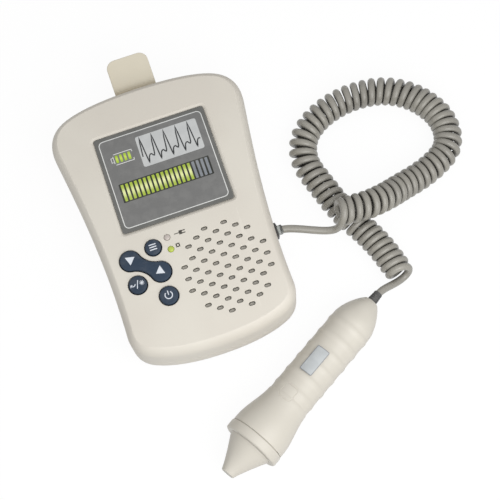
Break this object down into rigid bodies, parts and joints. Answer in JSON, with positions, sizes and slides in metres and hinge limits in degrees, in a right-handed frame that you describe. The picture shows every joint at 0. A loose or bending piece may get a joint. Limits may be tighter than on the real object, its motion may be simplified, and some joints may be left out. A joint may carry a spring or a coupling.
{
  "type": "handheld vascular doppler",
  "caption": "Handheld vascular doppler: hourglass display unit with keypad, speaker grille and rear probe holder, joined by a curly cord to a pencil probe.",
  "frame": {"origin": "middle of the unit's flat back, on the surface that the unit, the cord and the probe all lie on", "axes": "+X to the unit's right seen from its face, +Y from its foot to its probe holder, +Z out of its face"},
  "size_m": [0.1948, 0.2143, 0.0314],
  "materials": {
    "case_plastic": "fine-grained warm ivory ABS",
    "holder_plastic": "smooth cream ABS, slightly yellower than the case",
    "probe_plastic": "satin cream ABS",
    "panel_print": "dark grey printed polyester sheet with a clear window",
    "display_glass": "clear",
    "clear_plastic": "clear acrylic and polycarbonate",
    "black_plastic": "moulded black",
    "circuit_board": "green solder mask on glass epoxy",
    "silicone": "matte silicone",
    "key_navy": "satin moulded navy with white printing",
    "lamp_grey": "diffused, unlit",
    "lamp_green": "diffused, lit",
    "speaker_metal": "zinc plated",
    "speaker_paper": "black pressed paper",
    "cell_jacket": "plain dark sleeve",
    "contact_metal": "bright spring brass",
    "screw_steel": "zinc plated",
    "cord_grey": "satin grey polyurethane jacket",
    "boot_rubber": "matte dark grey",
    "lens_resin": "polished epoxy",
    "crystal": "silvered ceramic",
    "backing_resin": "filled resin",
    "label_silver": "brushed foil, blank"
  },
  "bodies": {
    "unit": {"front_cover": "case_plastic", "rear_cover": "case_plastic", "display_overlay": "panel_print", "lcd_glass": "display_glass", "lcd_light_guide": "clear_plastic", "lcd_frame": "black_plastic", "main_board": "circuit_board", "keypad_mat": "silicone", "led_status": "lamp_grey", "led_power": "lamp_green", "grille_mesh": "speaker_metal", "speaker_basket": "speaker_metal", "speaker_cone": "speaker_paper", "speaker_magnet": "speaker_metal", "battery_upper": "cell_jacket", "battery_lower": "cell_jacket", "contact_bridge": "contact_metal", "contact_upper": "contact_metal", "contact_lower": "contact_metal", "case_screw_1": "screw_steel", "case_screw_2": "screw_steel", "case_screw_3": "screw_steel", "case_screw_4": "screw_steel", "board_screw_1": "screw_steel", "board_screw_2": "screw_steel", "board_screw_3": "screw_steel", "board_screw_4": "screw_steel", "probe_holder": "holder_plastic", "holder_screw_1": "screw_steel", "holder_screw_2": "screw_steel", "modular_jack": "black_plastic", "modular_plug": "clear_plastic", "cord_lead_in": "cord_grey", "cord_coil": "cord_grey", "cord_lead_out": "cord_grey", "probe_nose": "probe_plastic", "probe_collar": "probe_plastic", "probe_body": "probe_plastic", "probe_lens": "lens_resin", "crystal_transmit": "crystal", "crystal_receive": "crystal", "crystal_backing": "backing_resin", "probe_board": "circuit_board", "probe_label": "label_silver", "cord_boot": "boot_rubber"},
    "key_mode": {"key_mode": "key_navy"},
    "key_sound": {"key_sound": "key_navy"},
    "key_power": {"key_power": "key_navy"},
    "key_rocker": {"key_rocker": "key_navy"},
    "battery_door": {"battery_door": "case_plastic"}
  },
  "joints": [
    {"name": "key_mode_press", "type": "slide", "parent": "unit", "child": "key_mode", "axis": [0, 0, -1], "range_m": [0, 0.0008], "stiffness_N_per_m": 400},
    {"name": "key_sound_press", "type": "slide", "parent": "unit", "child": "key_sound", "axis": [0, 0, -1], "range_m": [0, 0.0008], "stiffness_N_per_m": 400},
    {"name": "key_power_press", "type": "slide", "parent": "unit", "child": "key_power", "axis": [0, 0, -1], "range_m": [0, 0.0008], "stiffness_N_per_m": 400},
    {"name": "key_rocker_tilt", "type": "hinge", "parent": "unit", "child": "key_rocker", "pos_m": [-0.0225, -0.02151, 0.0271], "axis": [0.6184, 0.7859, 0], "range_deg": [-3, 3], "stiffness_Nm_per_rad": 0.05},
    {"name": "battery_door_slide", "type": "slide", "parent": "unit", "child": "battery_door", "axis": [0, -1, 0], "range_m": [0, 0.036]}
  ]
}
